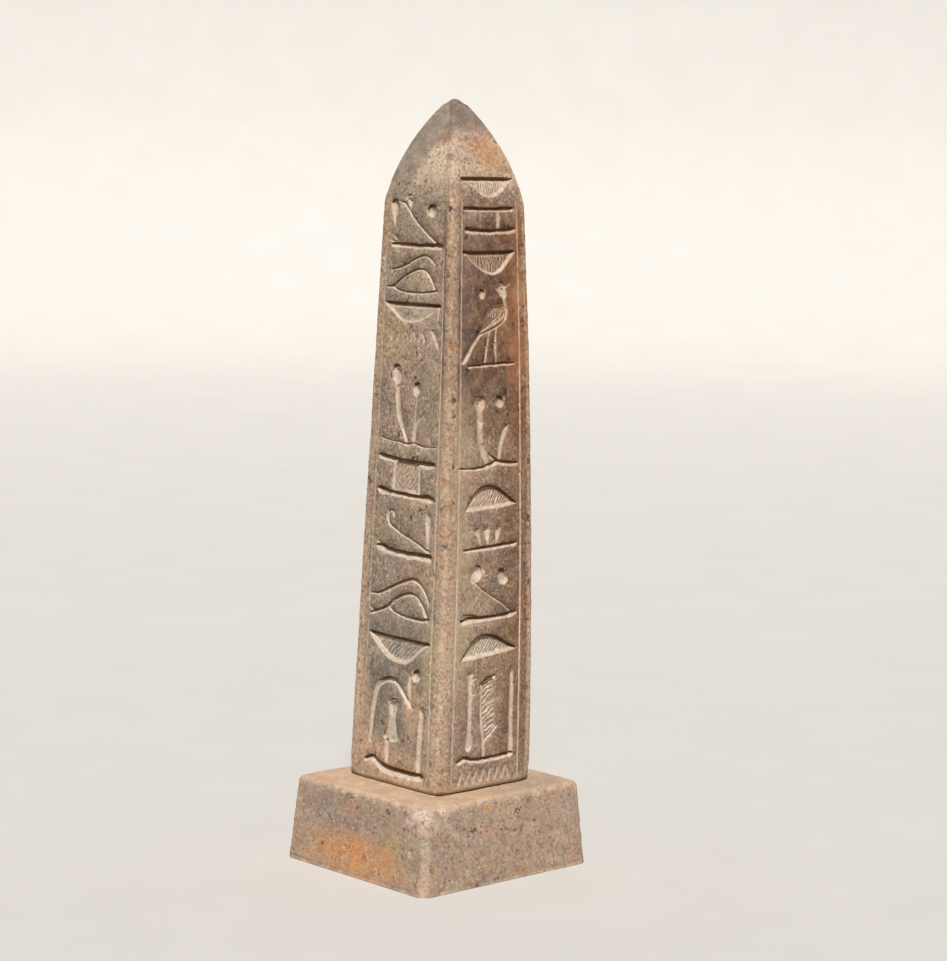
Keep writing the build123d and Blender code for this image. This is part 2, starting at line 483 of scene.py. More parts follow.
def front_signs(face):
    """The column of signs on the front, from the top down."""
    cut, nick, bar, gouge, head = face.cut, face.nick, face.bar, face.gouge, face.head
    # hooked rod over a forked bar
    head((-12.6, 259.2, 4.4), (-12.5, 256, 2.8), (-12.3, 250.5, 0.6), deep=0.36, hollow=2.6)
    face.shade_crescent(-12.6, 259.4, 4.6)
    cut((-9.2, 260.2, 1), (-7.2, 259.8, 1.5), (-6, 258.6, 1.4))
    cut((-6.4, 261.2, 0.8), (-4.8, 262.8, 1.1), (-3, 262.2, 0.8), deep=0.6)
    nick((-3.7, 260.9, 3), (-3.6, 258, 1.4), deep=0.4, hollow=2)
    cut((-6.6, 259.6, 1.7), (-1, 254, 1.5), (5, 249.5, 1.5), (14.2, 243.8, 1.9), deep=0.55)
    bar((-12.6, 243.8, 1.6), (-6, 243.9, 1.9), (4, 243.7, 1.7), (14.6, 244, 2.1), deep=0.55)
    nick((-13.6, 245.4, 1.6), (-11, 244.8, 2.2), (-8.4, 243.8, 1.4), deep=0.4)
    nick((-12.4, 247.2, 1.2), (-10.6, 245.8, 1.6), (-8.4, 244.4, 0.9), deep=0.4)
    gouge(8.4, 257.3, 5.2, 5.4)
    # brow and eye
    cut((-13.5, 234, 0.9), (-10, 234.6, 1.3), (-5, 236, 1.4), (0, 238.4, 1.5), (5, 240, 1.5),
        (8.5, 239.2, 1.4), (12, 236.6, 0.9))
    cut((-15, 227.6, 1.2), (-12, 227.7, 1.7), (-8, 230.2, 1.5), (-2, 233.3, 1.5), (4, 234.9, 1.6),
        (8, 233.4, 1.5), (11, 229.6, 1.5), (13.5, 226.6, 1.5))
    cut((-12, 227.5, 1.5), (-7, 226.1, 1.4), (0, 225.6, 1.4), (7, 226, 1.3), (13, 226.7, 1.4))
    # bowl, left rim thick
    bowl = curved([(-16, 222), (-15.4, 220.6), (-10.8, 217.8), (-5.6, 214.5), (-1, 213.9), (4, 214.6),
                   (10, 217), (15.2, 220.6), (15.2, 221.6)])
    face.sink(bowl, 1, 0.25, slope=1, bare=0.1, shade=1.3)
    nick((-15.4, 220.8, 1.2), (-10.6, 218.4, 1.8), (-6, 215.4, 1.4), (-2, 214.6, 0.8), deep=0.4)
    bar((-15, 221.5, 1.3), (-9, 220.9, 1.7), (4, 221, 1.8), (15, 221.2, 1.5), deep=0.75)
    nick((15, 220.8, 1), (14.6, 216, 0.8))
    # water ripple, nearly rubbed away
    for u, z, du, height, width in ((-12.2, 207.2, 1.4, 3.4, 0.8), (-8.6, 206.8, 1.7, 3, 0.6),
                                    (-5, 208.4, 1.2, 2.2, 0.5), (-3.4, 210.4, 1.5, -2.6, 0.6),
                                    (-0.6, 207, 1.5, 3.2, 0.6), (1.2, 210.4, 1.6, -2.8, 0.5),
                                    (4.2, 207.4, 1.4, 3, 0.6), (6, 210.4, 1.7, -3, 0.7)):
        nick((u, z, 1.7 * width), (u + du, z + height, 1.3 * width), deep=0.45, limit=0.42)
    cut((11.8, 211.4, 2.4), (13.4, 208.8, 2.5), (15.6, 204.8, 1.2), deep=0.32)
    # tall figure, drop and forked stem on a ground line
    head((-7.8, 195.4, 5.2), (-7.5, 193, 4.4), (-7, 189.6, 2.4))
    face.shade_crescent(-7.8, 195.5, 5.8, 0.4)
    robe = curved([(-8.2, 189.6), (-5.8, 189.6), (-4.9, 184), (-3.4, 178), (-1.2, 173), (0.8, 168.4),
                   (-1, 168.2), (-4.2, 173), (-6.8, 177.6), (-7.8, 183)])
    face.sink(robe, 0.95, 0.6, edge=0.8, slope=0.8, bare=0.86, shade=0.5)
    gouge(4.2, 189, 3.9, 6)
    cut((4.5, 185.6, 0.5), (4, 178, 0.6), (3.8, 172, 0.8), deep=0.45)
    cut((9, 179.6, 0.9), (6.6, 177.8, 1.4), (4.6, 175.2, 1.7), (3.8, 171, 2.3), (3.7, 168.4, 1.9), deep=0.42)
    cut((-15, 168.9, 1.2), (-10, 168.2, 1), (-5, 168, 1.2), (0, 167.5, 1.5), (4, 168, 1.2), (8, 167.3, 1.4),
        (13, 167.2, 0.9), (16.5, 167.4, 0.7))
    # stool with a reed seat
    seat = [(-6.2, 160.6), (7.2, 160), (7.2, 148.4), (-6.2, 148.8)]
    face.sink(seat, 0.5, 0.3, bare=0.15, shade=1.2)
    face.hatch([(-2.2, 160), (7.2, 159.6), (7.2, 149), (-2.2, 149)], -40, 1.7, width=0.9, deep=0.25,
               bare=0.86)
    face.hatch([(-6.2, 160), (-2.2, 160), (-2.2, 149), (-6.2, 149)], 36, 1.7, width=0.8, deep=0.22,
               bare=0.86)
    bar((-15, 162, 1.6), (-12.6, 161.6, 2.2), (-5, 161.1, 1.8), (6, 160.7, 2), (13, 160.8, 2.6),
        (15.6, 160.9, 1.8), deep=0.6)
    cut((-6.7, 160.6, 1.4), (-6.8, 149, 1.6), deep=0.36, hollow=2)
    cut((7.8, 160, 1.3), (7.8, 149, 1.4), deep=0.36, hollow=2)
    bar((-14.6, 149, 2.4), (-12, 148.7, 2.8), (-8.6, 148.2, 1.8), (0, 147.8, 1.9), (8, 147.6, 1.9),
        (12.6, 148, 2.7), (15.6, 147.5, 1.8), deep=0.55)
    # hoe and upright over a wedged bar
    cut((-5.6, 139, 1.2), (-6.2, 140.8, 1.4), (-8.2, 141, 1.5), (-9.4, 139.2, 1.7), (-8.8, 136.8, 1.8),
        (-6.6, 135.2, 1.8), (0, 132.5, 1.7), (8, 130, 1.6), (15, 127.2, 1.6), deep=0.55)
    cut((13.8, 141.4, 2.9), (14.2, 135, 2.4), (14.5, 128, 1.5), deep=0.34, hollow=2)
    bar((-14, 126.6, 2), (-9, 125.8, 2.4), (0, 125.2, 2.4), (15.2, 125.2, 2.6), deep=0.5)
    cut((-13.6, 128.2, 2.8), (-11.6, 127.2, 3.8), (-8.4, 125.8, 2.6), deep=0.38, shade=-0.1)
    # long brow and forked eye
    cut((-17, 107.6, 1.2), (-12, 108.3, 1.7), (-5, 111.4, 1.9), (2, 114.3, 2), (7, 115.6, 2), (11, 114.4, 2),
        (13.6, 112, 1.7), (16.8, 107, 0.9))
    cut((-17, 102, 1.2), (-14.6, 101, 1.7), (-8, 103.1, 1.9), (-3, 106.8, 1.9), (3, 109.5, 1.9),
        (8, 109.8, 2), (12, 107.3, 2), (16, 101.4, 2), deep=0.55)
    cut((-17, 99.8, 1.3), (-15, 100.3, 1.9), (-12, 101.6, 1.6))
    cut((-7.2, 103.8, 1.5), (-3, 102, 1.6), (3, 100.9, 1.8), (10, 100.5, 2), (16, 100.8, 2), deep=0.55)
    # deep bowl
    bowl = curved([(-17, 92.8), (-16.4, 90.8), (-10.8, 86.2), (-5.6, 83), (0, 81.9), (4.6, 82), (8.6, 84),
                   (12.6, 87.5), (17.4, 91), (17.4, 92)])
    face.sink(bowl, 1.4, 0.8, slope=1.9, bare=0.2, shade=1.7)
    face.hatch(bowl, -48, 1.6, width=0.8, deep=0.26, inset=1.8, bare=0.66)
    bar((-16, 92.2, 1.6), (-10, 91.5, 2), (4, 91.3, 2.1), (17, 91.6, 1.6), deep=0.8)
    # arched staff, upright with a drop, a club, all in a sunk frame
    cut((-14, 49, 1.6), (-13.3, 58, 1.9), (-12.5, 65, 2.2), (-11, 70.8, 2.6), (-8, 74, 2.9), (-3, 75.4, 3),
        (1, 74.3, 2.7), (5, 70.4, 2.6), (8, 67, 2.7), (10, 65.8, 1.6), deep=0.42, hollow=1.8)
    cut((8, 78.4, 1.8), (8, 72, 2), (8.4, 66.6, 1.8), deep=0.42, hollow=1.8)
    gouge(11.3, 79, 4.8, 4.8, lean=-0.4)
    cut((-3.4, 66.2, 1.1), (-1, 67.6, 1.4), (1.6, 66.4, 1.1), deep=0.7)
    club = curved([(-3.6, 65.8), (-1, 67), (1.2, 65.8), (0.8, 61), (1.6, 56), (2.8, 51.8), (-1.6, 50.2),
                   (-6.2, 51.8), (-4.6, 56), (-3.4, 61)])
    face.sink(club, 1.1, 0.6, edge=1, slope=0.9, bare=0.86, shade=0.6)
    cut((-3.8, 50.6, 2.6), (-3.6, 46.6, 2.6), (-3.4, 43, 1.6), deep=0.26, lip=0.3, hollow=2)
    cut((15.6, 65.6, 2.4), (15.3, 55, 2.4), (15.2, 40, 2.3), deep=0.4, hollow=2)
    bar((-16, 41.4, 1.6), (-12.2, 43, 2.2), (-9, 41.6, 2.6), (-4, 40, 3), (6, 39.6, 3), (16.2, 39.8, 2.8),
        deep=0.44)
    # scribed column lines
    face.scribe((-16.4, 246, 0.6), (-17.3, 180, 0.65), (-17.8, 130, 0.65), (-18.2, 85, 0.65),
                (-19.5, 52, 0.6), bare=0.9)
    face.scribe((16.7, 243, 0.7), (18, 180, 0.8), (18.8, 130, 0.8), (19.3, 85, 0.8), (20.8, 44, 0.75))


def side_signs(face):
    """The column of signs on the right side, from the top down."""
    cut, nick, bar, gouge, head = face.cut, face.nick, face.bar, face.gouge, face.head
    # small bowl under the shoulder
    bowl = curved([(-12.4, 269.8), (-11.6, 268.6), (-8.4, 266.4), (-4, 263.2), (0, 262.1), (4, 262.6),
                   (8, 264.8), (11.6, 267.4), (13.8, 269.2), (13.4, 270)])
    face.sink(bowl, 1.1, 0.6, slope=1.5, bare=0.3, shade=1.4)
    face.hatch(bowl, 4, 1.2, width=0.75, deep=0.28, inset=1.3)
    bar((-11.8, 269.4, 1.5), (0, 269.2, 1.9), (9, 269.3, 1.7), (13.2, 269.4, 1), deep=0.72)
    # stool
    bar((-12.3, 258.3, 1.8), (-4, 258.1, 1.6), (4, 258.1, 1.6), (11.3, 258.3, 1.9), deep=0.7)
    cut((-5, 257.2, 0.5), (-5, 251, 0.5), deep=0.4)
    cut((4.3, 257.4, 1.7), (4.2, 251, 1.8), deep=0.34, hollow=2)
    bar((-11.4, 250.4, 2.2), (-8, 250.1, 2), (0, 249.7, 1.7), (8, 250.1, 2), (11.8, 250.4, 2.3), deep=0.62)
    # second bowl
    bowl = curved([(-13.4, 242.2), (-12.4, 240.6), (-8.8, 237.2), (-4.6, 234.5), (0, 232.9), (2.2, 232.8),
                   (5.6, 234), (8.8, 236.8), (12.6, 241), (12.4, 242.2)])
    face.sink(bowl, 1.3, 0.8, slope=1.2, bare=0.2, shade=1.7)
    face.hatch(bowl, 6, 1.3, width=0.75, deep=0.3, inset=1.4, bare=0.84)
    bar((-13, 241.7, 1.7), (-4, 241.4, 2), (6, 241.5, 2), (12, 241.8, 1.3), deep=0.72)
    # standing bird and a drop
    body = curved([(7.2, 221.8), (3, 221.2), (0, 220.2), (-2, 217), (-4.8, 211.4), (2, 213.4), (6.6, 215.8),
                   (8.2, 218), (7.8, 221)])
    face.sink(body, 0.42, 0.2, bare=0.1)
    nick((5.6, 228.4, 4.8), (6.4, 226.4, 3.6), deep=0.32, lip=0.12, hollow=2.8)
    face.shade_crescent(5.6, 228.9, 4.9, 0.45)
    nick((7, 228.2, 1.6), (10.2, 229.4, 0.6), deep=0.45)
    cut((7, 227, 2.8), (7.2, 224, 1.8), (7.7, 221, 1.6), (8.3, 218.4, 1.3), (7.2, 215.7, 1.2),
        (3, 213.2, 1.2), (-5, 210.4, 1.3), deep=0.48)
    cut((7.2, 222, 1), (3, 221.5, 1.1), (0, 220.5, 1.2), (-2.2, 217, 1.2), (-5, 211.4, 1.4))
    cut((6.5, 219.3, 0.9), (2, 215.7, 0.9), (-4.8, 211.4, 0.9))
    for k in range(6):
        cut((0.2 + 1.15 * k - 1.2, 217.4 - 0.2 * k, 0.5), (1.2 + 1.1 * k - 1.2, 220.6 - 0.1 * k, 0.5),
            step=0.15, add=True)
    cut((-4.8, 211.4, 1.5), (-9.6, 206, 2), (-12, 202.8, 2.4), (-14, 200.6, 2.5), deep=0.42, hollow=1.8)
    cut((-0.6, 212, 0.9), (-1.8, 206.4, 1.1), (-3, 199.6, 1))
    cut((-3.6, 206.2, 0.8), (-2, 205.8, 1.3))
    cut((3.2, 213.4, 0.9), (2.3, 206.4, 1.1), (3, 199.6, 1))
    cut((0.6, 207.2, 0.8), (2.2, 206.8, 1.3))
    bar((-11.4, 198.4, 1), (-2, 198.9, 1.3), (6, 199.1, 1.4), (12.4, 199, 0.9), deep=0.55)
    gouge(-4.4, 226, 3.6, 4.4)
    # stem with two heads and a wedge
    head((-5.4, 184.6, 5.4), (-5.6, 182.8, 4.2))
    face.shade_crescent(-5.4, 184.9, 5.9, 0.4)
    cut((-5.7, 183, 2.8), (-5.7, 176, 2.8), (-5.4, 169.4, 2.6), (-3.6, 165, 2.6), (-1.4, 160.6, 2.2),
        deep=0.34, lip=0.3, hollow=2.2)
    gouge(4.8, 184.9, 4.8, 4.8)
    cut((8.4, 175, 2.8), (6.4, 171, 2.3), (5, 166.6, 1.6), (4, 161.8, 1.3), deep=0.4, hollow=2)
    cut((-1.2, 164.6, 1.2), (3.2, 161.8, 2.2), (6, 161.4, 1.6), deep=0.4)
    bar((-15.6, 159.5, 0.9), (-8, 159.2, 1.2), (-1, 160, 1.6), (3.4, 161.3, 1.6), (9, 160.6, 1.7),
        (13.8, 160.3, 1.4), deep=0.5)
    # round loaf
    loaf = curved([(-13.2, 142.6), (-11.4, 146.2), (-8.6, 149.6), (-4.6, 151.9), (0, 152.6), (4, 151.6),
                   (8, 149.2), (13.6, 145.2), (13.4, 144.1), (4, 143.2), (-6, 142.7)])
    face.sink(loaf, 1.4, 1, slope=1.5, bare=0.3, shade=1.3)
    face.hatch(loaf, -34, 1.15, width=0.7, deep=0.26, inset=1.4)
    # three strokes over a bar
    for start, end, width in ((-6.8, -5, 2.4), (-1.9, -1, 3.2), (4.4, 3.4, 2.8)):
        cut((start, 135.4, width), ((start + end) / 2, 133, 0.75 * width), (end, 130, 0.3 * width),
            deep=0.4, lip=0.4, hollow=2)
    bar((-13, 128, 1.2), (-6, 128.2, 1.5), (4, 128.6, 1.7), (13.3, 129.1, 1.7), deep=0.55)
    # round-headed hoe, a drop, and its wedged bar
    head((-6.4, 119.2, 5.6), (-7.6, 117.2, 4.4), (-8.2, 115.8, 2.4))
    face.shade_crescent(-6.4, 119.5, 6.1, 0.35)
    nick((-4.2, 120.4, 2), (-2.8, 119, 1.2), deep=0.4)
    cut((-8.4, 116, 1.5), (-4.6, 112.9, 1.2), (0, 110, 1.1), (7, 106, 1.2), (12, 102.2, 1.6))
    head((6.4, 118, 3.8), (7.6, 115.6, 4.6), deep=0.38, hollow=3.4)
    face.shade_crescent(6.3, 117.7, 4.8, 0.6)
    bar((-13.6, 100.6, 2), (-6, 101, 1.9), (2, 101, 1.7), (10, 101.3, 2), (14, 101.8, 1.6), deep=0.55)
    cut((-12.8, 102.4, 3), (-10, 102, 4), (-5.4, 101.2, 2.6), deep=0.36, shade=-0.05)
    # second loaf
    loaf = curved([(-14.4, 84.8), (-12, 88.4), (-8.8, 91.8), (-5, 94), (-1, 94.7), (4, 93.6), (9, 91.2),
                   (14.6, 88.2), (14.5, 87), (4, 85.9), (-6, 85.1)])
    face.sink(loaf, 1.5, 1, slope=1.6, bare=0.3, shade=1.4)
    face.hatch(loaf, -36, 1.15, width=0.7, deep=0.26, inset=1.4)
    # notched staff and feather in a frame
    cut((-8.8, 79.4, 2.7), (-8.8, 72, 2.3), (-8.8, 62, 2), (-8.9, 57, 2.3), (-9, 53, 3.6), (-9, 50.8, 3.2),
        deep=0.34, lip=0.3, hollow=2.2)
    nick((-9, 77.7, 1.2), (-6, 77.4, 0.9), deep=0.4)
    nick((-9, 71.7, 1.2), (-6, 71.4, 0.9), deep=0.4)
    vane = [(-2.6, 74.6), (3.6, 77), (4.6, 66), (5.2, 57.8), (0.4, 54), (-2.2, 58), (-2.6, 66)]
    face.sink(vane, 0.9, 0.35, slope=0.6, bare=0.25)
    face.hatch(vane, -58, 1.7, width=0.9, deep=0.3, inset=0.3)
    bar((-3, 74.8, 1.3), (0, 76.4, 1.9), (3.4, 77.8, 1.4), deep=0.7)
    cut((-2.6, 74.6, 1.3), (-2.8, 66, 1.4), (-2.4, 58, 1.4), (-1.2, 53, 1.6), (-1, 45.8, 1.4), deep=0.45)
    cut((5.6, 57.8, 1.1), (2.6, 55.2, 1.6), (-0.8, 52.6, 1.3), deep=0.42)
    cut((13, 78.6, 1.4), (13.2, 66, 2), (13.4, 45.6, 2.2), deep=0.42, hollow=1.8)
    bar((-14, 45.8, 1.8), (-10.5, 46.9, 1.9), (-7.6, 45.8, 1.8), (-1, 45.3, 1.9), (6, 45.5, 1.9),
        (13.4, 45.8, 1.9), deep=0.55)
    # ripple at the foot, broad and soft
    for k in range(7):
        u = -13.6 + 3.8 * k
        nick((u, 37, 1.3), (u + 1.7, 41.4, 1.2), deep=0.3, limit=0.36, bare=0.62, hollow=2)
        nick((u + 1.7, 41.4, 1.1), (u + 3.4, 37, 1.4), deep=0.3, limit=0.32, bare=0.5, hollow=2)
    # scribed column lines
    face.scribe((-14.2, 262, 0.7), (-15.8, 180, 0.8), (-16.5, 130, 0.8), (-17.2, 85, 0.8), (-17.5, 37, 0.7))
    face.scribe((14, 262, 0.7), (15.5, 180, 0.85), (16.3, 130, 0.9), (17, 85, 0.95), (17.5, 36.5, 0.8))


# ------------------------------------------------------------- shaft carving


class ShaftMap:
    """Where the shaft's axis and sides lie at each height, read from its even grid."""

    SLICES = 90

    def __init__(self, piece):
        co = points_of(piece)
        edges = np.linspace(SHAFT_LOW.z, SHAFT_HIGH.z, self.SLICES + 1)
        rows = []
        for low, high in zip(edges[:-1], edges[1:]):
            ring = co[(co[:, 2] >= low) & (co[:, 2] <= high)]
            rows.append([(low + high) / 2, *ring.min(0)[:2], *ring.max(0)[:2]])
        self.rows = np.array(rows).T

    def at(self, z):
        """The axis (x, y) and the half widths along x and y."""
        heights, *columns = self.rows
        x0, y0, x1, y1 = (np.interp(z, heights, column) for column in columns)
        return (x0 + x1) / 2, (y0 + y1) / 2, (x1 - x0) / 2, (y1 - y0) / 2


def sort_faces(co, shaft_map):
    """For each point: its face (0 front, 1 right, 2 back, 3 left), its place across it, and half its width.

    Both measures are in millimetres.
    """
    cx, cy, hx, hy = shaft_map.at(co[:, 2])
    a, b = (co[:, 0] - cx) / hx, (co[:, 1] - cy) / hy
    face = np.where(np.abs(b) >= np.abs(a), np.where(b < 0, 0, 2), np.where(a > 0, 1, 3))
    across = np.choose(face, [co[:, 0] - cx, co[:, 1] - cy, cx - co[:, 0], cy - co[:, 1]]) / MM
    reach = np.choose(face, [hx, hy, hx, hy]) / MM
    return face, across, reach


def carve_faces(co, shaft_map, sizes):
    """Depth in metres of the carving at each point, how freshly the stone is bared there, and how much shade
    is painted there.
    """
    face, across, _ = sort_faces(co, shaft_map)
    depth, bared, painted_shade = np.zeros(len(co)), np.zeros(len(co)), np.zeros(len(co))
    for number, signs in enumerate((front_signs, side_signs, front_signs, side_signs)):
        at = np.flatnonzero(face == number)
        carver = FaceCarver(across[at], co[at, 2] / MM, sizes.wobble / MM, sizes.deepest / MM)
        signs(carver)
        depth[at] = np.minimum(carver.depth, sizes.deepest / MM) * MM
        bared[at], painted_shade[at] = carver.bared, carver.painted_shade
    return depth, bared, painted_shade


def band_between_lines(co, shaft_map):
    """1 on the rasped corners, 0 on the faces inside the scribed lines."""
    _, across, reach = sort_faces(co, shaft_map)
    left, right = RASPED_FROM
    inside = np.where(across > 0, right, left) * reach
    t = soft_step(-0.4, 0.6, np.abs(across) - inside)
    return t * (1 - soft_step(*RASPED_TOP, co[:, 2]))


def foot_closeness(co, shaft_map):
    """1 on the shaft's bottom corners, about a fifth along its bottom edges, 0 elsewhere."""
    cx, cy, hx, hy = shaft_map.at(co[:, 2])
    gaps = np.sort(np.stack([hx - np.abs(co[:, 0] - cx), hy - np.abs(co[:, 1] - cy)]), axis=0)
    low = 1 - soft_step(3 * MM, 9 * MM, co[:, 2] - SHAFT_LOW.z)
    corner = 1 - soft_step(2 * MM, 7 * MM, gaps[1])
    rim = 1 - soft_step(0.4 * MM, 1.8 * MM, co[:, 2] - SHAFT_LOW.z)
    edge = (1 - soft_step(0.6 * MM, 2.2 * MM, gaps[0])) * rim
    return np.maximum(low * corner, 0.22 * edge)


class OBELISK_OT_shaft(bpy.types.Operator):
    """Cut the carved shaft from the CAD shaft"""

    bl_idname = "obelisk.shaft"
    bl_label = "Carved Shaft"

    def execute(self, context):
        sizes, wear = settings("carving_sizes"), settings("obelisk_wear")
        piece = copy_of("shaft", "carved_shaft")
        even_grid(piece, "shaft", sizes.grid)
        shaft_map = ShaftMap(piece)

        co = points_of(piece)
        depth, _, _ = carve_faces(co, shaft_map, sizes)
        rasped = band_between_lines(co, shaft_map)
        pits = pit_depths(co, rasped)
        push(piece, "swell", 1.0 * (co[:, 2] > SHAFT_LOW.z + 0.5 * MM), wear.face_swell, 1.0,
             cloud("face_swell", 14 * MM))
        push(piece, "rasp", rasped * (co[:, 2] > SHAFT_LOW.z + 1.5 * MM), wear.rasp_depth, 0.65,
             cloud("rasp_marks", 2.2 * MM, 1))
        cx, cy, _, _ = shaft_map.at(co[:, 2])
        out = np.clip(np.hypot(co[:, 0] - cx, co[:, 1] - cy) / TIP_RADIUS, 0, 1)
        top = soft_step(SHAFT_HIGH.z - 2.8 * MM, SHAFT_HIGH.z - 0.6 * MM, co[:, 2])
        push(piece, "tip", out ** 2 * top, -TIP_DROP, direction="Z")
        weigh(piece, "foot", foot_closeness(co, shaft_map))
        modify(piece, "SMOOTH", factor=0.5, iterations=FOOT_ROUNDS, vertex_group="foot")
        # half the weight and twice the strength leave room for a pit inside a cut
        push(piece, "carving", (depth + pits) / sizes.deepest / 2, -2 * sizes.deepest)
        weigh(piece, "kept", (depth > 0.02 * MM) * 1.0)
        faces = len(piece.data.polygons)
        modify(piece, "DECIMATE", ratio=min(1.0, sizes.triangles / (2 * faces)),
               use_collapse_triangulate=True, vertex_group="kept", vertex_group_factor=1.0,
               invert_vertex_group=True)
        piece.vertex_groups.clear()

        co = points_of(piece)
        _, bared, painted_shade = carve_faces(co, shaft_map, sizes)
        # the bared stone of the cuts and the shade painted under their upper edges, for the finish to read
        paint(piece, "bared", bared)
        paint(piece, "painted_shade", painted_shade)
        paint(piece, "rasped", band_between_lines(co, shaft_map))
        take_up(piece)
        bpy.ops.object.shade_smooth_by_angle(angle=math.radians(50))
        piece.data.materials.append(shaft_stone())
        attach(piece, "root")
        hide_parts("shaft")
        return {"FINISHED"}


def pit_depths(co, rasped):
    """Depth in metres of the small natural pits, closer together on the rasped corners."""
    rng = np.random.default_rng(11)
    depth = np.zeros(len(co))
    seats = rng.integers(0, len(co), PIT_COUNT * 3)
    keep = rng.random(len(seats)) < 0.22 + 0.5 * rasped[seats]
    for seat in seats[keep][:PIT_COUNT]:
        radius = rng.uniform(0.35, 0.95) * MM
        near = np.flatnonzero(np.abs(co[:, 2] - co[seat, 2]) < radius)
        r = np.linalg.norm((co[near] - co[seat]) * (1, 1, rng.uniform(0.7, 1.3)), axis=1)
        bowl = rng.uniform(0.3, 0.7) * radius * np.clip(1 - (r / radius) ** 2, 0, 1)
        depth[near] = np.maximum(depth[near], bowl)
    return depth


# --------------------------------------------------------------- base block


class OBELISK_OT_block(bpy.types.Operator):
    """Wear down the base block"""

    bl_idname = "obelisk.block"
    bl_label = "Base Block"

    def execute(self, context):
        wear = settings("obelisk_wear")
        piece = copy_of("base_block", "worn_block")
        even_grid(piece, "base_block", BLOCK_GRID)
        co = points_of(piece)
        top = BLOCK_HIGH.z
        seated = np.maximum(np.abs(co[:, 0]), np.abs(co[:, 1])) < SEAT_REACH
        standing = points_of(piece, "normal")[:, 2] < -0.6
        free = ~(standing | (seated & (co[:, 2] > top - 1 * MM)))
        push(piece, "swell", 1.0 * free, BLOCK_SWELL, 1.0, cloud("block_swell", 18 * MM))
        push(piece, "edges", edge_closeness(co) * ~standing, wear.edge_crumble, 0.95,
             cloud("block_edges", 3.2 * MM, 3, 1.5))
        # the front corner is worn down from the top
        co = points_of(piece)
        corner = np.array([BLOCK_HIGH.x - 3 * MM, BLOCK_LOW.y + 3 * MM])
        r = np.linalg.norm(co[:, :2] - corner, axis=1)
        fall = np.clip(1 - r / CORNER_REACH, 0, 1) ** 2 * soft_step(top - 16 * MM, top - 1 * MM, co[:, 2])
        push(piece, "corner", fall, -wear.corner_drop, direction="Z")
        pits = pit_depths(points_of(piece), np.full(len(co), 0.3))
        push(piece, "pits", pits / MM * ~standing, -1 * MM)
        piece.vertex_groups.clear()
        modify(piece, "DECIMATE", ratio=BLOCK_KEPT, use_collapse_triangulate=True)

        paint(piece, "edge", edge_closeness(points_of(piece)))
        take_up(piece)
        bpy.ops.object.shade_smooth_by_angle(angle=math.radians(60))
        piece.data.materials.append(block_stone())
        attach(piece, "root")
        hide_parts("base_block")
        return {"FINISHED"}


def edge_closeness(co):
    """1 on the block's rounded edges, fading on the faces next to them."""
    x, y, z = co.T
    lean = BLOCK_TAPER * ((z - BLOCK_LOW.z) / (BLOCK_HIGH.z - BLOCK_LOW.z))
    gaps = np.sort(np.stack([BLOCK_HIGH.x - lean - np.abs(x), BLOCK_HIGH.y - lean - np.abs(y),
                             BLOCK_HIGH.z - z, z - BLOCK_LOW.z + 1 * MM]), axis=0)
    return 1 - soft_step(0.8 * MM, 3.2 * MM, gaps[1])


# -------------------------------------------------------------- stone finish


